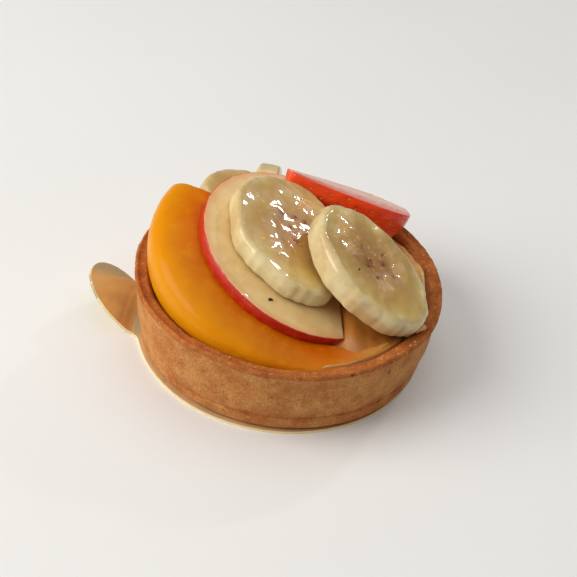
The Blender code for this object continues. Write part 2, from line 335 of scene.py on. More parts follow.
def use(tree, group, vector, **values):
    """Places a group in a material with its own values."""
    made = tree.nodes.new("ShaderNodeGroup")
    made.node_tree = group
    tree.links.new(vector, made.inputs["Vector"])
    for key, value in values.items():
        socket = made.inputs[key.replace("_", " ")]
        if isinstance(value, bpy.types.NodeSocket):
            tree.links.new(value, socket)
        else:
            socket.default_value = value
    return made


def start_material(name, **values):
    """A material with its Principled shader's own values set, and its Object coordinates."""
    made = bpy.data.materials.new(name)
    made.use_nodes = True
    tree = made.node_tree
    shader = tree.nodes["Principled BSDF"]
    for key, value in values.items():
        shader.inputs[key.replace("_", " ")].default_value = value
    place = tree.nodes.new("ShaderNodeTexCoord").outputs["Object"]
    return made, tree, shader, place


def attribute(tree, name):
    made = tree.nodes.new("ShaderNodeAttribute")
    made.attribute_name = name
    return made.outputs["Fac"]


def bumped(tree, shader, height, depth):
    """Feeds a height in metres to the shader's normal."""
    bump = tree.nodes.new("ShaderNodeBump")
    bump.inputs["Distance"].default_value = depth
    tree.links.new(height, bump.inputs["Height"])
    tree.links.new(bump.outputs["Normal"], shader.inputs["Normal"])


def wandering(tree, value, vector, amount, **values):
    """A value made ragged by a cloud of noise, by up to half the amount either way."""
    cloud = add(tree, "ShaderNodeTexNoise", **values)
    tree.links.new(vector, cloud.inputs["Vector"])
    return sums(tree, "ADD", value, sums(tree, "MULTIPLY_ADD", cloud.outputs[0], amount, -amount / 2))


def roughened(tree, shader, vector, depth, **sizes):
    """Gives a surface the relief group's unevenness, to a depth in metres."""
    bumped(tree, shader, use(tree, RELIEF, vector, **sizes).outputs["Height"], depth)


def colour_stops(tree, value, *stops):
    """A colour ramp over a value, from (position, colour) pairs in order."""
    made = tree.nodes.new("ShaderNodeValToRGB")
    ramp = made.color_ramp
    ramp.elements[0].position, ramp.elements[0].color = stops[0]
    ramp.elements[1].position, ramp.elements[1].color = stops[-1]
    for position, colour in stops[1:-1]:
        ramp.elements.new(position).color = colour
    tree.links.new(value, made.inputs[0])
    return made.outputs[0]


# ---------------------------------------------------------------- materials


def make_shortcrust():
    made, tree, shader, place = start_material("baked_shortcrust", Specular_IOR_Level=0.25)
    # The attribute read here browns the rim top and underside as baking colour, and darkens the inner wall, the pits
    # and the front-right side as painted shade.
    toast_and_shade = attribute(tree, "toast_and_shade")
    patches = use(
        tree, MOTTLE, place, Scale=120.0, Low=0.34, High=0.70, Amount=0.85,
        First=tone(226, 170, 100), Second=tone(192, 120, 54),
    )
    uneven = use(tree, MOTTLE, place, Scale=260.0, Low=0.30, High=0.70, Amount=0.30)
    toasted_or_shaded = ramped(tree, sums(tree, "ADD", toast_and_shade, sums(tree, "MULTIPLY", uneven.outputs["Mask"], 0.5)), 0.05, 1.0)
    # This darker crust colour goes where that attribute is high: baked brown in part, painted shade in part.
    rim = use(
        tree, MOTTLE, place, Scale=240.0, Low=0.35, High=0.70, Amount=0.8,
        First=tone(194, 112, 48), Second=tone(150, 74, 26),
    )
    colour = mixing(tree, toasted_or_shaded, patches.outputs["Color"], rim.outputs["Color"])
    grain = use(tree, MOTTLE, place, Scale=1700.0, Low=0.35, High=0.68, Amount=0.44)
    colour = mixing(tree, grain.outputs["Mask"], colour, tone(140, 82, 38))
    pale_grain = use(tree, MOTTLE, place, Scale=1150.0, Low=0.55, High=0.75, Amount=0.50)
    colour = mixing(tree, pale_grain.outputs["Mask"], colour, tone(232, 184, 122))
    dots = use(tree, SPECKLE, place, Scale=330.0, Size=0.20, Share=0.16)
    colour = mixing(tree, sums(tree, "MULTIPLY", dots.outputs["Mask"], 0.75), colour, tone(96, 52, 24))
    fine_dots = use(tree, SPECKLE, place, Scale=900.0, Size=0.32, Share=0.30)
    colour = mixing(tree, sums(tree, "MULTIPLY", fine_dots.outputs["Mask"], 0.35), colour, tone(112, 64, 30))
    tree.links.new(colour, shader.inputs["Base Color"])
    wet = attribute(tree, "wet")
    tree.links.new(ramped(tree, wet, 0.0, 1.0, 0.78, 0.30), shader.inputs["Roughness"])
    relief = use(tree, RELIEF, place, Fine_Scale=2100.0, Fine=0.6, Coarse_Scale=620.0, Coarse=0.8)
    height = sums(tree, "SUBTRACT", relief.outputs["Height"], sums(tree, "MULTIPLY", dots.outputs["Mask"], 0.8))
    bumped(tree, shader, height, 0.00032)
    return made


def make_custard():
    made, tree, shader, place = start_material(
        "glazed_custard", Roughness=0.35, Subsurface_Weight=0.3, Subsurface_Scale=0.0015, Coat_Weight=0.8,
        Coat_Roughness=0.08,
        Subsurface_Radius=(1.0, 0.6, 0.25),
    )
    patches = use(
        tree, MOTTLE, place, Scale=160.0, Low=0.35, High=0.75, Amount=0.8,
        First=tone(226, 184, 112), Second=tone(196, 142, 78),
    )
    glaze_and_shadow = attribute(tree, "glaze_and_shadow")
    # Amber glaze colour, partly painted shade by the fruit; its darkest brown is painted shadow in the gap under the
    # right-hand banana slice.
    colour = mixing(tree, ramped(tree, glaze_and_shadow, 0.0, 0.5), patches.outputs["Color"], tone(190, 122, 50))
    colour = mixing(tree, ramped(tree, glaze_and_shadow, 0.5, 1.0), colour, tone(104, 48, 16))
    tree.links.new(colour, shader.inputs["Base Color"])
    roughened(tree, shader, place, 0.0003, Fine_Scale=900.0, Fine=0.3, Coarse_Scale=260.0, Coarse=0.7)
    return made


def make_peach_flesh():
    made, tree, shader, place = start_material(
        "glazed_peach", Roughness=0.38, Specular_IOR_Level=0.05, Subsurface_Weight=0.3, Subsurface_Scale=0.003,
        Coat_Weight=0.18, Coat_Roughness=0.05, Coat_IOR=1.35,
        Subsurface_Radius=(1.0, 0.45, 0.1),
    )
    across = attribute(tree, "across")
    stretched = add(tree, "ShaderNodeMapping")
    stretched.inputs["Scale"].default_value = (1.0, 1.0, 3.0)
    tree.links.new(place, stretched.inputs["Vector"])
    spread = wandering(tree, across, stretched.outputs[0], 0.30, Scale=140.0, Detail=3.0)
    # Yellow to deep orange over the attribute: the deep orange is painted shade towards the apple and on the front of
    # the crescent.
    orange_and_shade = colour_stops(
        tree, spread, (0.0, tone(218, 142, 7)), (0.22, tone(214, 134, 4)), (0.48, tone(206, 116, 3)),
        (0.74, tone(197, 92, 2)), (1.0, tone(186, 70, 2)),
    )
    patches = use(tree, MOTTLE, place, Scale=300.0, Low=0.45, High=0.75, Amount=0.35)
    colour = mixing(tree, patches.outputs["Mask"], orange_and_shade, tone(222, 146, 10))
    pale = attribute(tree, "pale")
    colour = mixing(tree, pale, colour, tone(214, 158, 84))
    tree.links.new(colour, shader.inputs["Base Color"])
    roughened(tree, shader, stretched.outputs[0], 0.00016, Fine_Scale=1100.0, Fine=0.25, Coarse_Scale=320.0, Coarse=0.6)
    return made


def make_apple_flesh():
    made, tree, shader, place = start_material(
        "glazed_apple", Roughness=0.32, Specular_IOR_Level=0.35, Subsurface_Weight=0.3, Subsurface_Scale=0.002,
        Coat_Weight=0.6, Coat_Roughness=0.05, Coat_IOR=1.35,
        Subsurface_Radius=(1.0, 0.7, 0.35),
    )
    gap = attribute(tree, "rim_gap")
    near = wandering(tree, gap, place, 0.50, Scale=420.0, Detail=3.0)
    flesh = use(
        tree, MOTTLE, place, Scale=180.0, Low=0.35, High=0.75, Amount=0.7,
        First=tone(240, 208, 148), Second=tone(226, 184, 116),
    )
    blush = sums(tree, "MULTIPLY", ramped(tree, near, 0.2, 2.6, 1.0, 0.0), 0.45)
    colour = mixing(tree, blush, flesh.outputs["Color"], tone(228, 142, 92))
    skin_tone = use(
        tree, MOTTLE, place, Scale=500.0, Low=0.40, High=0.75, Amount=0.8,
        First=tone(184, 24, 12), Second=tone(208, 64, 26),
    )
    skin = ramped(tree, near, 0.10, 0.42, 1.0, 0.0)
    colour = mixing(tree, skin, colour, skin_tone.outputs["Color"])
    tree.links.new(colour, shader.inputs["Base Color"])
    roughened(tree, shader, place, 0.00012, Fine_Scale=1300.0, Fine=0.3, Coarse_Scale=420.0, Coarse=0.5)
    return made


def make_banana_flesh():
    made, tree, shader, place = start_material(
        "glazed_banana", Roughness=0.32, Specular_IOR_Level=0.35, Subsurface_Weight=0.35, Subsurface_Scale=0.002,
        Coat_Weight=0.8, Coat_Roughness=0.04, Coat_IOR=1.38,
        Subsurface_Radius=(1.0, 0.75, 0.4),
    )
    reach = attribute(tree, "reach")
    spread = wandering(tree, reach, place, 0.34, Scale=230.0, Detail=4.0, Roughness=0.6)
    ring = colour_stops(
        tree, spread, (0.0, tone(174, 122, 66)), (0.22, tone(180, 132, 70)), (0.46, tone(192, 148, 78)),
        (0.66, tone(204, 164, 86)), (0.84, tone(216, 186, 108)), (1.0, tone(224, 209, 162)),
    )
    patches = use(tree, MOTTLE, place, Scale=260.0, Low=0.45, High=0.80, Amount=0.22)
    colour = mixing(tree, patches.outputs["Mask"], ring, tone(182, 138, 74))
    tan = use(tree, MOTTLE, place, Scale=80.0, Low=0.40, High=0.66, Amount=0.55)
    colour = mixing(tree, tan.outputs["Mask"], colour, tone(184, 138, 74))
    mark = attribute(tree, "seed_mark")
    blurred = use(tree, MOTTLE, place, Scale=700.0, Low=0.25, High=0.65, Amount=0.6)
    marked = sums(tree, "MULTIPLY", mark, sums(tree, "ADD", blurred.outputs["Mask"], 0.35))
    colour = mixing(tree, marked, colour, tone(132, 74, 28))
    tree.links.new(colour, shader.inputs["Base Color"])
    roughened(tree, shader, place, 0.00008, Fine_Scale=1500.0, Fine=0.25, Coarse_Scale=520.0, Coarse=0.5)
    return made


def make_strawberry_flesh():
    made, tree, shader, place = start_material(
        "glazed_strawberry", Roughness=0.28, Specular_IOR_Level=0.35, Subsurface_Weight=0.3,
        Subsurface_Scale=0.0018, Coat_Weight=0.35, Coat_Roughness=0.05, Coat_IOR=1.38,
        Subsurface_Radius=(1.0, 0.25, 0.12),
    )
    skin = use(
        tree, MOTTLE, place, Scale=260.0, Low=0.35, High=0.75, Amount=0.8,
        First=tone(246, 78, 26), Second=tone(218, 48, 16),
    )
    cut = attribute(tree, "cut")
    heart = attribute(tree, "heart")
    spread = wandering(tree, heart, place, 0.30, Scale=600.0, Detail=3.0)
    flesh = mixing(tree, ramped(tree, spread, 0.15, 0.85), tone(234, 156, 108), tone(212, 60, 26))
    colour = mixing(tree, cut, skin.outputs["Color"], flesh)
    tree.links.new(colour, shader.inputs["Base Color"])
    roughened(tree, shader, place, 0.00016, Fine_Scale=1300.0, Fine=0.3, Coarse_Scale=450.0, Coarse=0.6)
    return made


def make_gold_card():
    made, tree, shader, place = start_material("gold_foil_card", Metallic=0.6)
    patches = use(
        tree, MOTTLE, place, Scale=60.0, Low=0.3, High=0.8, Amount=0.6,
        First=tone(250, 230, 180), Second=tone(238, 208, 148),
    )
    tree.links.new(patches.outputs["Color"], shader.inputs["Base Color"])
    smear = use(tree, MOTTLE, place, Scale=220.0, Low=0.35, High=0.75, Amount=1.0)
    tree.links.new(ramped(tree, smear.outputs["Mask"], 0.0, 1.0, 0.10, 0.20), shader.inputs["Roughness"])
    roughened(tree, shader, place, 0.00006, Fine_Scale=900.0, Fine=0.1, Coarse_Scale=90.0, Coarse=0.8)
    return made


def make_clear_glaze(name, tint, second_tint, roughness):
    """Set fruit glaze: clear, and it lets light through to what lies under it."""
    made, tree, shader, place = start_material(
        name, Transmission_Weight=1.0, IOR=1.36, Roughness=roughness,
    )
    patches = use(tree, MOTTLE, place, Scale=200.0, Low=0.35, High=0.75, Amount=1.0, First=tint, Second=second_tint)
    tree.links.new(patches.outputs["Color"], shader.inputs["Base Color"])
    roughened(tree, shader, place, 0.00008, Fine_Scale=1200.0, Fine=0.3, Coarse_Scale=500.0, Coarse=0.6)
    clear = tree.nodes.new("ShaderNodeBsdfTransparent")
    tree.links.new(patches.outputs["Color"], clear.inputs["Color"])
    path = tree.nodes.new("ShaderNodeLightPath")
    mix = tree.nodes.new("ShaderNodeMixShader")
    tree.links.new(path.outputs["Is Shadow Ray"], mix.inputs[0])
    tree.links.new(shader.outputs[0], mix.inputs[1])
    tree.links.new(clear.outputs[0], mix.inputs[2])
    tree.links.new(mix.outputs[0], tree.nodes["Material Output"].inputs["Surface"])
    return made


def make_crumb_look(name, first, second, roughness):
    made, tree, shader, place = start_material(name, Roughness=roughness)
    patches = use(tree, MOTTLE, place, Scale=900.0, Low=0.35, High=0.7, Amount=1.0, First=first, Second=second)
    tree.links.new(patches.outputs["Color"], shader.inputs["Base Color"])
    roughened(tree, shader, place, 0.0001, Fine_Scale=3000.0, Fine=0.5, Coarse_Scale=1200.0, Coarse=0.5)
    return made


SHORTCRUST = make_shortcrust()
CUSTARD = make_custard()
PEACH_FLESH = make_peach_flesh()
APPLE_FLESH = make_apple_flesh()
BANANA_FLESH = make_banana_flesh()
STRAWBERRY_FLESH = make_strawberry_flesh()
GOLD_CARD = make_gold_card()
CLEAR_GLAZE = make_clear_glaze("clear_glaze", tone(255, 250, 238), tone(252, 240, 214), 0.02)
SEED_HUSK = make_crumb_look("berry_seed", tone(222, 130, 44), tone(196, 86, 26), 0.35)
BANANA_SEED = make_crumb_look("banana_seed", tone(116, 66, 26), tone(146, 92, 42), 0.6)
DARK_SPECK = make_crumb_look("dark_speck", tone(30, 20, 14), tone(56, 36, 20), 0.5)
CRUMB = make_crumb_look("pastry_crumb", tone(226, 178, 124), tone(196, 136, 80), 0.8)


# ---------------------------------------------------------------- pastry case


def case_section():
    return [
        (0.0, CASE_BOTTOM),
        (BASE_RADIUS * 0.6, CASE_BOTTOM),
        (BASE_RADIUS - 0.0012, CASE_BOTTOM),
        (BASE_RADIUS - 0.0002, CASE_BOTTOM + 0.0006),
        (BASE_RADIUS + 0.0002, WALL_FOOT - 0.0008),
        (BASE_RADIUS - 0.0001, WALL_FOOT),
        (BASE_RADIUS + 0.0004, WALL_FOOT + 0.0008),
        (BASE_RADIUS + 0.0012, CASE_TOP * 0.45),
        (RIM_RADIUS - 0.0006, CASE_TOP - 0.0042),
        (RIM_RADIUS - 0.0001, CASE_TOP - 0.0016),
        (RIM_RADIUS + 0.0001, CASE_TOP - 0.0007),
        (RIM_RADIUS - 0.0002, CASE_TOP - 0.0001),
        (RIM_RADIUS - 0.0006, CASE_TOP + 0.0001),
        (RIM_RADIUS - 0.0011, CASE_TOP - 0.0002),
        (RIM_RADIUS - 0.0016, CASE_TOP - 0.0004),
        (CASE_INNER + 0.0010, CASE_TOP - 0.0005),
        (CASE_INNER + 0.0002, CASE_TOP - 0.0013),
        (CASE_INNER - 0.0004, CASE_TOP - 0.0035),
        (CASE_INNER - 0.0016, CASE_FLOOR + 0.0012),
        (CASE_INNER - 0.0028, CASE_FLOOR),
        (0.0, CASE_FLOOR),
    ]


def make_case():
    """The baked case: turned, then made uneven as hand-lined pastry is."""
    shape = turned(case_section(), CASE_STEPS, cuts=4)
    toast_and_shade = shape.verts.layers.float.new("toast_and_shade")
    wet = shape.verts.layers.float.new("wet")
    bumps = [
        (Vector((0.0262, -0.0275, 0.0213)), 0.0016, 0.0007),
        (Vector((0.0388, 0.0008, 0.0213)), 0.0013, 0.0008),
        (Vector((-0.0352, 0.0120, 0.0213)), 0.0020, 0.0004),
        (Vector((0.0100, 0.0375, 0.0213)), 0.0018, 0.0005),
    ]
    for point in shape.verts:
        radius = math.hypot(point.co.x, point.co.y)
        angle = math.atan2(point.co.y, point.co.x)
        ring = Vector((math.cos(angle), math.sin(angle), 0))
        across = smooth_between(CASE_INNER - 0.0006, RIM_RADIUS, radius)
        top = smooth_between(CASE_TOP - 0.0022, CASE_TOP - 0.0004, point.co.z)
        inside = smooth_between(CASE_INNER + 0.0012, CASE_INNER - 0.0004, radius)
        inside *= smooth_between(CASE_FLOOR, CASE_FLOOR + 0.004, point.co.z)
        under = 1 - smooth_between(CASE_BOTTOM + 0.0003, CASE_BOTTOM + 0.0022, point.co.z)
        drift = WALL_FOOT + 0.0007 * noise.noise(ring * 9)
        crease = math.exp(-((point.co.z - drift) / 0.0007) ** 2) if radius > CASE_INNER else 0.0
        # Browner towards the front right: painted shade on the side turned away from the key light.
        side_shade = 0.42 * smooth_between(-0.6, 0.5, math.cos(angle - math.radians(295)))
        blotch = smooth_between(-0.35, 0.35, noise.noise(ring * 6 + Vector((0, 4, 0))))
        low = side_shade + 0.24 * (1 - smooth_between(CASE_BOTTOM + 0.002, CASE_BOTTOM + 0.007, point.co.z)) * blotch
        # The rim top and underside brown as baking colour, the inner wall is darkened as painted shade inside the case,
        # and the colour is darker along the crease at the wall's foot.
        point[toast_and_shade] = min(1.0, max(top, 0.95 * inside, 0.6 * under, low + (0.10 + 0.30 * blotch) * crease))
        point[wet] = inside * 0.9 + 0.25 * top * (1 - across)
        if radius < BASE_RADIUS * 0.8:
            continue
        height = smooth_between(CASE_BOTTOM, CASE_TOP, point.co.z)
        bulge = noise.noise(ring * 2.6 + Vector((0, 0, point.co.z * 60)))
        point.co += ring * bulge * 0.0004 * height
        point.co.z += noise.noise(ring * 3.4 + Vector((7, 0, 0))) * 0.0005 * height * height
        seam = smooth_between(CASE_BOTTOM, CASE_BOTTOM + 0.0025, point.co.z)
        seam *= 1 - smooth_between(CASE_BOTTOM + 0.0040, CASE_TOP * 0.6, point.co.z)
        if radius > CASE_INNER:
            point.co.z += 0.0016 * seam * smooth_between(-0.2, 1.0, math.cos(angle - math.radians(315)))
        place = point.co.copy()
        crumble = noise.fractal(place * 300, 0.9, 2.0, 4)
        point.co.z += top * (0.00034 * noise.noise(place * 130) + 0.00020 * crumble)
        if point.co.z < CASE_BOTTOM + 0.0004:
            continue
        outward = ring if radius > CASE_INNER else -ring
        point.co += outward * 0.00007 * crumble
        pit = noise.voronoi(place * 330)[0][0]
        chance = noise.cell(place * 70)
        if chance > 0.35 and pit < PIT_SIZE:
            point.co -= outward * 0.00028 * (1 - pit / PIT_SIZE)
            # Each pit is also darkened, as painted shade in it.
            point[toast_and_shade] = min(1.0, point[toast_and_shade] + 0.5 * (1 - pit / PIT_SIZE))
        for centre, size, lift in bumps:
            near = math.exp(-((place - centre).length / size) ** 2)
            point.co.z += lift * near
            point[wet] = max(point[wet], near)
    return piece("pastry_case", shape, SHORTCRUST, "shortcrust", "pastry_shell")


# ---------------------------------------------------------------- custard


def beside_apple(x, y):
    """The height of the apple's top face over a place, and how far the place lies beyond its cut edge."""
    along_x = x - APPLE_CENTRE.x
    along_y = y - APPLE_CENTRE.y
    lean = along_x * math.cos(HEADING) + along_y * math.sin(HEADING)
    chord = HEADING + APPLE_CHORD_ANGLE
    beyond = along_x * math.cos(chord) + along_y * math.sin(chord) - APPLE_CHORD
    return APPLE_CENTRE.z - lean * math.tan(TILT), beyond


def cream_height(x, y):
    """The mound under the fruit: it follows the apple's lean and is higher again beyond its cut edge."""
    apple_top, beyond = beside_apple(x, y)
    under_apple = apple_top - APPLE_THICKNESS / math.cos(TILT) - 0.0004
    shoulder = smooth_between(-0.0035, 0.0015, beyond)
    level = under_apple * (1 - shoulder) + CREAM_SHOULDER * shoulder
    fade = smooth_between(CREAM_FLAT_RADIUS, CASE_INNER - 0.0009, math.hypot(x, y))
    return level * (1 - fade) + CREAM_EDGE * fade


def make_custard_mound():
    foot = CASE_FLOOR + 0.0003
    edge = CASE_INNER - 0.0007
    section = [
        (0.0, foot), (CASE_INNER - 0.0034, foot), (CASE_INNER - 0.0024, foot + 0.0012),
        (CASE_INNER - 0.0010, CREAM_EDGE - 0.002),
    ]
    section += [(edge * (1 - ring / 60), CREAM_EDGE) for ring in range(61)]
    shape = turned(section, 220)
    glaze_and_shadow = shape.verts.layers.float.new("glaze_and_shadow")
    for point in shape.verts:
        if point.co.z > CREAM_EDGE - 0.0001:
            radius = math.hypot(point.co.x, point.co.y)
            lump = noise.fractal(point.co * 130, 0.9, 2.0, 3) * 0.0007 + noise.noise(point.co * 380) * 0.00022
            bearing = math.atan2(point.co.y, point.co.x)
            swell = 0.0030 * math.exp(-((bearing - 0.12) / 0.42) ** 2) * smooth_between(0.022, 0.031, radius)
            front = math.exp(-((bearing + 0.95) / 0.42) ** 2) * smooth_between(0.022, 0.029, radius)
            tip = math.exp(-((point.co.x - 0.0165) ** 2 + (point.co.y + 0.0195) ** 2) / 0.0085 ** 2)
            # Painted shadow in the gap under the lower end of the right-hand banana slice.
            banana_shadow = math.exp(-((bearing + 0.46) / 0.20) ** 2) * smooth_between(0.026, 0.030, radius)
            # The amber at the front and by the apple's tip is glaze colour together with painted shade beneath the
            # right-hand slice.
            point[glaze_and_shadow] = min(1.0, 0.5 * max(0.85 * front, tip) + banana_shadow)
            climb = swell + 0.0012 * front + 0.0007 * tip + 0.0010 * smooth_between(edge - 0.0018, edge, radius)
            level = cream_height(point.co.x, point.co.y) + climb
            apple_top, beyond = beside_apple(point.co.x, point.co.y)
            banked = smooth_between(-0.0012, 0.0, beyond) * (1 - smooth_between(0.0004, 0.0075, beyond))
            banked *= smooth_between(-0.004, -0.012, point.co.y)
            if apple_top - 0.0001 > level:
                level += (apple_top - 0.0001 - level) * banked
            # Glaze banked against the apple's cut edge takes the same amber, partly painted shade.
            point[glaze_and_shadow] = max(point[glaze_and_shadow], 0.58 * banked)
            point.co.z = level + lump * (1 - 0.7 * banked)
    return piece("custard_mound", shape, CUSTARD, "pastry_cream", "cream_filling")


# ---------------------------------------------------------------- fruit slices


def slice_section(thickness, edge_out, edge_down, rings, bulge=0.0):
    """A slice's section with a radius of 1, from the middle of its top round to the middle underneath."""
    corner = 8
    section = [((1 - edge_out) * ring / rings, 0.0) for ring in range(rings + 1)]
    for step in range(1, corner + 1):
        turn = math.pi / 2 * step / corner
        section.append((1 - edge_out + edge_out * math.sin(turn), -edge_down * (1 - math.cos(turn))))
    side = thickness - 2 * edge_down
    for step in range(1, 7):
        share = step / 6
        section.append((1 + bulge * math.sin(math.pi * share), -edge_down - side * share))
    for step in range(1, corner + 1):
        turn = math.pi / 2 * (1 - step / corner)
        section.append((1 - edge_out + edge_out * math.sin(turn), -thickness + edge_down * (1 - math.cos(turn))))
    section += [((1 - edge_out) * (1 - ring / 12), -thickness) for ring in range(1, 13)]
    return section


def make_apple():
    """A half-moon slice with its skin round the rim."""
    section = slice_section(APPLE_THICKNESS, 0.016, 0.0004, 56, 0.004)
    section = [(out * APPLE_RADIUS, along) for out, along in section]
    shape = turned(section, 300)
    direction = Vector((math.cos(APPLE_CHORD_ANGLE), math.sin(APPLE_CHORD_ANGLE), 0))
    cut = bmesh.ops.bisect_plane(
        shape, geom=shape.verts[:] + shape.edges[:] + shape.faces[:], plane_co=direction * APPLE_CHORD,
        plane_no=direction, clear_outer=True,
    )
    rim = [part for part in cut["geom_cut"] if isinstance(part, bmesh.types.BMEdge)]
    bmesh.ops.edgeloop_fill(shape, edges=rim)
    gap = shape.verts.layers.float.new("rim_gap")
    for point in shape.verts:
        radius = math.hypot(point.co.x, point.co.y)
        side = point.co.z < -0.0003 and point.co.z > 0.0003 - APPLE_THICKNESS
        point[gap] = -1.0 if side and radius > APPLE_RADIUS - 0.0003 else (APPLE_RADIUS - radius) / MM
        if point.co.z > -0.0006:
            fade = 1 - smooth_between(0.94, 1.0, radius / APPLE_RADIUS)
            place = point.co * 1.0
            swell = noise.noise(place * 240) * 0.00008 + noise.noise(place * 620) * 0.00003
            point.co.z += swell * fade - 0.00035 * math.exp(-(radius / 0.006) ** 2)
        angle = math.atan2(point.co.y, point.co.x)
        if radius > APPLE_RADIUS * 0.9:
            point.co *= 1 + 0.004 * noise.noise(Vector((math.cos(angle), math.sin(angle), 0)) * 4)
    bmesh.ops.transform(shape, matrix=ON_APPLE, verts=shape.verts)
    return piece("apple_half_moon", shape, APPLE_FLESH, "apple_flesh", "apple_slice")


# Brown seed marks in each slice's core: place along and across it in mm, and size in mm
SEED_MARKS = {
    "banana_slice_centre": ((-5.2, -1.8, 1.3), (-4.3, 1.2, 1.0), (-3.2, 4.2, 0.9), (-0.5, -1.2, 0.9), (3.6, -0.4, 0.8)),
    "banana_slice_right": (
        (-2.9, -5.4, 0.9), (-0.4, -1.9, 1.5), (1.6, 2.3, 1.2), (-4.4, -1.0, 1.0), (5.4, 2.9, 1.0), (4.0, -2.6, 0.8),
    ),
    "banana_slice_left": ((-1.5, 0.5, 0.9), (1.2, -1.4, 0.8), (0.8, 1.6, 0.8)),
    "banana_slice_back": ((-1.2, 0.4, 0.8), (1.0, -1.0, 0.7), (0.6, 1.2, 0.7)),
}


def make_banana(name, placement, half_length, half_width, thickness, seed, edge, lumps, reach_out, node):
    """An oval slice: soft rim, sunken three-part core and a lumpy glazed top."""
    rings = int(half_length / 0.00028)
    section = slice_section(thickness, edge / half_width, edge, rings, 0.012)
    shape = turned(section, int(2 * math.pi * half_length / 0.00042))
    marks = SEED_MARKS[node]
    reach = shape.verts.layers.float.new("reach")
    mark = shape.verts.layers.float.new("seed_mark")
    offset = Vector((seed * 3.1, seed * 1.7, 0))
    for point in shape.verts:
        out = math.hypot(point.co.x, point.co.y)
        angle = math.atan2(point.co.y, point.co.x)
        spot = Vector((math.cos(angle), math.sin(angle), 0))
        wobble = 1 + 0.012 * math.cos(5 * angle + seed) + 0.010 * math.cos(3 * angle - 2 * seed)
        wobble += 0.042 * noise.noise(spot * 3.0 + offset) + 0.015 * noise.noise(spot * 9 + offset)
        wobble += reach_out * math.exp(-((angle - 0.2) / 0.45) ** 2)
        point[reach] = out
        is_top = point.co.z > -edge * 1.2
        if is_top:
            x = point.co.x * half_length / MM
            y = point.co.y * half_width / MM
            near = sum(math.exp(-((x - along) ** 2 + (y - side) ** 2) / size ** 2) for along, side, size in marks)
            point[mark] = min(1.0, near)
        point.co.x *= half_length * wobble
        point.co.y *= half_width * wobble
        if is_top:
            fade = 1 - smooth_between(0.86, 1.0, out)
            lobes = 0.36 + 0.07 * math.cos(3 * angle + seed * 2)
            core = 1 - smooth_between(lobes - 0.12, lobes + 0.12, out)
            place = point.co + offset
            height = -0.00022 * core + 0.00010 * math.exp(-((out - 0.66) / 0.16) ** 2)
            height += lumps * (noise.noise(place * 140) * 0.00040 + noise.noise(place * 380) * 0.00007)
            height += lumps * noise.noise(place * 900) * 0.00002
            point.co.z += height * fade
        else:
            point.co += spot * noise.noise((point.co + offset) * 300) * 0.00018
    bmesh.ops.transform(shape, matrix=placement, verts=shape.verts)
    return piece(name, shape, BANANA_FLESH, "banana_flesh", node)


def peach_section(angle):
    """The slice's section at an angle round the tart, as (radius, height) pairs from its inner foot."""
    x = 0.033 * math.cos(angle)
    y = 0.033 * math.sin(angle)
    share = (angle - PEACH_START) / (PEACH_END - PEACH_START)
    narrow = smooth_between(0.62, 1.0, share)
    ridge = max(PEACH_RIDGE - PEACH_FALL_X * x + PEACH_FALL_Y * y, PEACH_LOW)
    ridge = ridge * (1 - narrow) + (PEACH_LOW - 0.0004) * narrow
    outer = PEACH_OUTER - 0.0012 * narrow
    inner = PEACH_INNER + (outer - 0.0035 - PEACH_INNER) * narrow
    rise = 0.0018 * (1 - narrow)
    ridge += 0.0004 * (1 - smooth_between(0.0, 0.25, share))
    tall = ridge - PEACH_FOOT
    wide = outer - inner
    proud = 0.0005 * smooth_between(0.024, 0.030, ridge)
    return [
        (inner, PEACH_FOOT),
        (outer - 0.12 * wide, PEACH_FOOT),
        (outer - 0.0003, PEACH_FOOT + 0.18 * tall),
        (outer + proud, PEACH_FOOT + 0.55 * tall),
        (outer - 0.0004 + proud, PEACH_FOOT + 0.92 * tall),
        (outer - 0.18 * wide, PEACH_FOOT + 1.10 * tall),
        ((inner + outer) / 2, ridge + rise),
        (inner + 0.04 * wide, ridge + rise),
        (inner - 0.0006, PEACH_FOOT + 0.5 * tall),
    ]


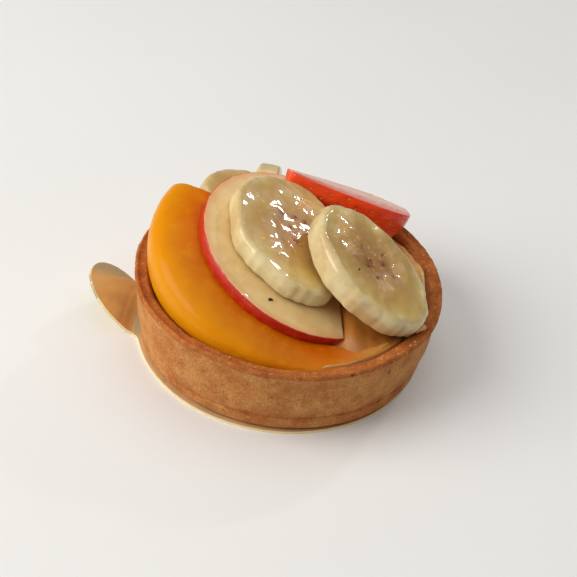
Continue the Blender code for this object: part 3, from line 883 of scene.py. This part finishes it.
def make_peach():
    """A crescent laid along the rim, high at its cut end and thin at its far tip."""
    shape = bmesh.new()
    crease = shape.edges.layers.float.new("crease_edge")
    rings = []
    for station in range(PEACH_STATIONS + 1):
        angle = PEACH_START + (PEACH_END - PEACH_START) * station / PEACH_STATIONS
        turn = Matrix.Rotation(angle, 4, "Z")
        rings.append([shape.verts.new(turn @ Vector((out, 0, along))) for out, along in peach_section(angle)])
    for ring in rings:
        for pair in zip(ring, ring[1:] + ring[:1]):
            shape.edges.new(pair)
    for before, after in zip(rings, rings[1:]):
        edges = []
        for ring in (before, after):
            edges += [shape.edges.get(pair) for pair in zip(ring, ring[1:] + ring[:1])]
        bmesh.ops.bridge_loops(shape, edges=edges)
    for ring in (rings[0], rings[-1]):
        cap = shape.faces.new(ring)
        for edge in cap.edges:
            edge[crease] = 1.0
    bmesh.ops.recalc_face_normals(shape, faces=shape.faces)
    shape = settled(shape, 3)
    across = shape.verts.layers.float.new("across")
    pale = shape.verts.layers.float.new("pale")
    shape.normal_update()
    moves = []
    for point in shape.verts:
        angle = math.atan2(point.co.y, point.co.x) % (2 * math.pi)
        section = peach_section(min(max(angle, PEACH_START), PEACH_END))
        inner = section[0][0]
        outer = section[3][0]
        radius = math.hypot(point.co.x, point.co.y)
        share = (angle - PEACH_START) / (PEACH_END - PEACH_START)
        # Deeper orange along the front of the tart: painted shade on the front-facing surfaces.
        front_shade = 0.42 * smooth_between(0.30, 0.78, share)
        # Deeper orange towards the inner edge by the apple: painted shade there.
        point[across] = front_shade + (1 - front_shade) * (1 - min(max((radius - inner) / (outer - inner), 0.0), 1.0))
        point[pale] = 0.85 * smooth_between(0.80, 1.0, share)
        strand = Vector((radius * 520, angle * 14, point.co.z * 300))
        moves.append(
            point.normal * (
                0.00005 * noise.noise(strand) + 0.00022 * noise.noise(point.co * 110)
                + 0.00006 * noise.noise(point.co * 420)
            )
        )
    for point, move in zip(shape.verts, moves):
        point.co += move
    return piece("peach_crescent", shape, PEACH_FLESH, "peach_flesh", "peach_slice")


BERRY_PLACEMENT = (
    leaning(Vector((-0.0034, 0.0199, 0.0385)), math.radians(26), math.radians(55), -0.70)
    @ Matrix.Rotation(math.radians(-4.5), 4, "X")
)


def berry_radius(share):
    """The berry's radius along its length: a blunt tip, a wide shoulder and a round stem end."""
    return STRAWBERRY_RADIUS * 1.16 * (0.10 + 0.9 * share) ** 0.62 * math.sqrt(max(1 - share ** 7, 0.0))


def berry_seed_places():
    """Seeds in a spiral over the skin, as (share of the length, turn below the cut face)."""
    places = []
    for count in range(STRAWBERRY_SEEDS):
        share = 0.05 + 0.88 * ((count + 0.5) / STRAWBERRY_SEEDS) ** 0.8
        turn = (count * SEED_TURN) % (2 * math.pi)
        if turn < math.pi:
            places.append((share, turn))
    return places


def on_berry(share, turn):
    """A point on the skin and its outward direction, in the berry's own axes."""
    radius = berry_radius(share)
    point = Vector((STRAWBERRY_LENGTH * share, radius * math.cos(turn), -radius * math.sin(turn)))
    slope = (berry_radius(min(share + 0.01, 0.995)) - berry_radius(share - 0.01)) / (0.02 * STRAWBERRY_LENGTH)
    outward = Vector((-slope, math.cos(turn), -math.sin(turn))).normalized()
    return point, outward


def make_berry():
    """Half a berry: dimpled skin below, and a flat cut face above."""
    section = [(0.0, 0.0)]
    steps = 90
    for step in range(steps + 1):
        share = 1 - (1 - step / steps) ** 1.5 if step else 0.0
        share = min(share, 0.995)
        section.append((berry_radius(share), STRAWBERRY_LENGTH * share))
    section.append((0.0, STRAWBERRY_LENGTH * 0.990))
    shape = turned(section, 128, axis="X")
    cut = shape.verts.layers.float.new("cut")
    heart = shape.verts.layers.float.new("heart")
    dents = [on_berry(*place)[0] for place in berry_seed_places()]
    for point in shape.verts:
        radius = math.hypot(point.co.y, point.co.z)
        if point.co.z > 1e-6:
            point[cut] = 1.0
            share = min(max(point.co.x / STRAWBERRY_LENGTH, 0.0), 1.0)
            full = max(berry_radius(share), 1e-5)
            streak = Vector(((point.co.x + 0.6 * abs(point.co.y)) * 700, abs(point.co.y) * 90, 3.0))
            point[heart] = abs(point.co.y) / full + 0.30 * noise.noise(streak)
            bulge = 1 - (point.co.y / full) ** 2
            point.co.z = 0.0004 * bulge + 0.00012 * bulge * noise.noise(point.co * 400)
            continue
        if radius < 0.0005:
            continue
        inward = Vector((0, point.co.y, point.co.z)).normalized()
        deep = sum(math.exp(-((point.co - dent).length / 0.00055) ** 2) for dent in dents)
        lump = noise.noise(point.co * 260) * 0.00012
        depth = smooth_between(0.0, 0.0012, -point.co.z)
        point.co -= inward * (0.00034 * min(deep, 1.0) - lump) * depth
    bmesh.ops.transform(shape, matrix=BERRY_PLACEMENT, verts=shape.verts)
    return piece("strawberry_cut_half", shape, STRAWBERRY_FLESH, "strawberry_flesh", "strawberry_half")


def make_berry_seeds():
    shape = bmesh.new()
    for share, turn in berry_seed_places():
        point, outward = on_berry(share, turn)
        if point.z > -0.0008:
            continue
        facing = outward.to_track_quat("Z", "X").to_matrix().to_4x4()
        spot = BERRY_PLACEMENT @ Matrix.Translation(point - outward * 0.00022) @ facing
        bmesh.ops.create_icosphere(
            shape, subdivisions=2, radius=0.00036, matrix=spot @ Matrix.Diagonal((0.7, 1.5, 0.55, 1.0)),
        )
    return piece("strawberry_seeds", shape, SEED_HUSK, "strawberry_flesh")


# Placement, half length, half width, thickness, seed, edge radius, lumpiness and how far the lower end reaches out
BANANAS = {
    "banana_slice_centre": (
        ON_APPLE @ Matrix.Translation((-0.0050, -0.0018, 0.0058)) @ Matrix.Rotation(-0.916, 4, "Z"),
        0.0189, 0.0156, 0.0055, 0.4, 0.0011, 1.0, 0.08,
    ),
    "banana_slice_right": (
        leaning(Vector((0.0203, -0.0085, 0.0342)), math.radians(28), math.radians(-10), -0.49),
        0.0182, 0.0136, 0.0070, 1.3, 0.0015, 1.5, 0.08,
    ),
    "banana_slice_left": (
        ON_APPLE @ Matrix.Translation((-0.0185, 0.0095, -0.0037)), 0.0125, 0.0125, 0.0060, 2.1, 0.0012, 0.6, 0.0,
    ),
    "banana_slice_back": (
        leaning(Vector((-0.0065, 0.0254, 0.0251)), math.radians(90), math.radians(-4)),
        0.0092, 0.0092, 0.0063, 0.9, 0.0012, 0.6, 0.0,
    ),
}


def make_banana_seeds():
    """Small dark seeds in the cores, mostly sunk in the flesh."""
    shape = bmesh.new()
    rng = random.Random(3)
    for node, values in BANANAS.items():
        for along, side, size in SEED_MARKS[node]:
            for count in range(2):
                x = along * MM + rng.uniform(-0.7, 0.7) * size * MM
                y = side * MM + rng.uniform(-0.7, 0.7) * size * MM
                spot = values[0] @ Matrix.Translation((x, y, -0.00030)) @ Matrix.Rotation(rng.uniform(0, 3), 4, "Z")
                bmesh.ops.create_icosphere(
                    shape, subdivisions=2, radius=0.00030, matrix=spot @ Matrix.Diagonal((1.5, 0.7, 0.8, 1.0)),
                )
    return piece("banana_seeds", shape, BANANA_SEED, "banana_flesh")


# ---------------------------------------------------------------- glaze, specks and crumbs


def scatter(obj, count, rng, accept, smallest, largest):
    """Points on a piece that face up, with a size for each."""
    mesh = obj.data
    chosen = []
    tries = 0
    while len(chosen) < count and tries < count * 400:
        tries += 1
        point = mesh.vertices[rng.randrange(len(mesh.vertices))]
        if point.normal.z > 0.3 and accept(point.co):
            size = smallest + (largest - smallest) * rng.random() ** 2.2
            chosen.append((point.co.copy(), point.normal.copy(), size))
    return chosen


def make_beads(fruit):
    """Bubbles and beads in the glaze: thickest on the two upper banana slices and beside the apple's skin."""
    rng = random.Random(11)
    centre = Vector((-0.0050, -0.0030, 0.0365))
    right = Vector((0.0165, -0.0050, 0.0360))
    beads = scatter(
        fruit["banana_slice_centre"], 85, rng,
        lambda spot: (spot - centre).length < 0.011 * (0.5 + rng.random() * 0.7), 0.00010, 0.00042,
    )
    beads += scatter(
        fruit["banana_slice_right"], 110, rng,
        lambda spot: (spot - right).length < 0.012 * (0.4 + rng.random() * 0.8), 0.00010, 0.00038,
    )
    beads += scatter(
        fruit["peach"], 26, rng,
        lambda spot: math.hypot(spot.x - 0.0024, spot.y + 0.0004) < 0.0300 and spot.x < -0.006, 0.00010, 0.00030,
    )
    beads += scatter(fruit["peach"], 14, rng, lambda spot: spot.z > 0.021, 0.00008, 0.00022)
    beads += scatter(fruit["apple"], 22, rng, lambda spot: spot.x < 0.004, 0.00010, 0.00028)
    beads += scatter(fruit["berry"], 22, rng, lambda spot: True, 0.00010, 0.00030)
    shape = bmesh.new()
    for spot, normal, size in beads:
        bmesh.ops.create_icosphere(
            shape, subdivisions=2, radius=size, matrix=Matrix.Translation(spot + normal * size * 0.1),
        )
    return piece("glaze_beads", shape, CLEAR_GLAZE, "banana_flesh")


def make_bubble_ring():
    """A large burst bubble near the far edge of the middle slice: a rounded ring of glaze."""
    shape = turned([(0.00125 + 0.00022 * math.cos(a), 0.00022 * math.sin(a)) for a in
                    [2 * math.pi * step / 14 for step in range(14)]] + [(0.00147, 0.0)], 48)
    spot = Matrix.Translation((0.0010, 0.0093, 0.0365)) @ ON_APPLE.to_3x3().to_4x4()
    bmesh.ops.transform(shape, matrix=spot @ Matrix.Diagonal((0.75, 1.35, 1.0, 1.0)), verts=shape.verts)
    return piece("bubble_ring", shape, CLEAR_GLAZE, "banana_flesh")


def rough_grain(shape, spot, size, rng):
    """An irregular grain."""
    made = bmesh.ops.create_icosphere(shape, subdivisions=2, radius=size, matrix=Matrix.Translation(spot))
    shift = Vector((rng.random() * 50, rng.random() * 50, rng.random() * 50))
    for point in made["verts"]:
        away = point.co - spot
        point.co += away * 0.9 * noise.noise(away / size * 1.1 + shift)


def make_specks():
    shape = bmesh.new()
    rng = random.Random(5)
    for spot, size in (
        ((-0.0038, -0.0220, 0.0285), 0.00042), ((-0.0033, -0.0217, 0.0283), 0.00026),
        ((0.0060, -0.0163, 0.0265), 0.00030), ((0.0164, -0.0158, 0.0365), 0.00026),
        ((-0.0260, -0.0160, 0.0330), 0.00012), ((0.0222, -0.0050, 0.0338), 0.00022),
    ):
        rough_grain(shape, Vector(spot), size, rng)
    return piece("dark_specks", shape, DARK_SPECK, "banana_flesh")


def make_crumbs():
    """A nub of pastry by the right-hand slice, and a few loose crumbs on the rim."""
    shape = bmesh.new()
    rng = random.Random(9)
    rough_grain(shape, Vector((0.0335, -0.0172, 0.0222)), 0.0013, rng)
    rough_grain(shape, Vector((0.0345, -0.0158, 0.0216)), 0.0008, rng)
    for count in range(9):
        angle = rng.uniform(0, 2 * math.pi)
        radius = RIM_RADIUS - rng.uniform(0.0006, 0.0036)
        spot = Vector((radius * math.cos(angle), radius * math.sin(angle), CASE_TOP + 0.0001))
        rough_grain(shape, spot, rng.uniform(0.00014, 0.00032), rng)
    return piece("pastry_crumbs", shape, CRUMB, "shortcrust")


# ---------------------------------------------------------------- put together

make_case()
make_custard_mound()
fruit = {"apple": make_apple(), "peach": make_peach(), "berry": make_berry()}
for label, values in BANANAS.items():
    fruit[label] = make_banana(label.replace("banana_slice", "banana_round"), *values, label)
make_banana_seeds()
make_berry_seeds()
make_beads(fruit)
make_bubble_ring()
make_specks()
make_crumbs()
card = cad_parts["gold_card"]
for place in card.material_slots:
    place.material = GOLD_CARD


# ---------------------------------------------------------------- floor, light and camera


def make_floor():
    made, tree, shader, place = start_material("pale_floor", Roughness=0.6)
    patches = use(
        tree, MOTTLE, place, Scale=6.0, Low=0.2, High=0.8, Amount=1.0,
        First=(0.86, 0.86, 0.85, 1), Second=(0.83, 0.83, 0.82, 1),
    )
    tree.links.new(patches.outputs["Color"], shader.inputs["Base Color"])
    shape = bmesh.new()
    bmesh.ops.create_grid(shape, x_segments=2, y_segments=2, size=3.0)
    mesh = bpy.data.meshes.new("floor")
    shape.to_mesh(mesh)
    shape.free()
    mesh.materials.append(made)
    floor = bpy.data.objects.new("floor", mesh)
    bpy.context.scene.collection.objects.link(floor)


def make_light(name, direction, size, power, colour):
    data = bpy.data.lights.new(name, "AREA")
    data.shape = "DISK"
    data.size = size
    data.energy = power
    data.color = colour
    made = bpy.data.objects.new(name, data)
    towards = Vector(direction).normalized()
    made.matrix_world = Matrix.Translation(Vector((0, 0, 0.02)) + towards * LIGHT_DISTANCE) @ (
        towards.to_track_quat("Z", "Y").to_matrix().to_4x4()
    )
    bpy.context.scene.collection.objects.link(made)


def make_camera():
    back = Vector((0, -math.cos(CAMERA_ELEVATION), math.sin(CAMERA_ELEVATION)))
    right = Vector((1, 0, 0))
    up = Vector((0, math.sin(CAMERA_ELEVATION), math.cos(CAMERA_ELEVATION)))
    across = right * math.cos(CAMERA_ROLL) + up * math.sin(CAMERA_ROLL)
    upward = -right * math.sin(CAMERA_ROLL) + up * math.cos(CAMERA_ROLL)
    data = bpy.data.cameras.new("camera")
    data.lens = CAMERA_LENS
    data.sensor_width = 36.0
    data.clip_start = 0.01
    camera = bpy.data.objects.new("camera", data)
    turn = Matrix((across, upward, back)).transposed().to_4x4()
    camera.matrix_world = Matrix.Translation(CAMERA_TARGET + back * CAMERA_DISTANCE) @ turn
    bpy.context.scene.collection.objects.link(camera)
    bpy.context.scene.camera = camera


make_floor()
make_light("soft_key", (-0.80, -0.22, 0.56), 0.80, 8.0, (1.0, 0.97, 0.92))
make_light("overhead", (0.15, 0.10, 0.98), 1.30, 3.6, (1.0, 0.98, 0.95))
make_light("far_lamp", (0.470, 0.700, 0.540), 0.055, 0.6, (1.0, 0.98, 0.96))
make_camera()
world = bpy.data.worlds.new("studio")
bpy.context.scene.world = world
world.use_nodes = True
world.node_tree.nodes["Background"].inputs["Color"].default_value = (1.0, 1.0, 1.0, 1.0)
world.node_tree.nodes["Background"].inputs["Strength"].default_value = WORLD_STRENGTH
bpy.context.scene.view_settings.view_transform = "Standard"
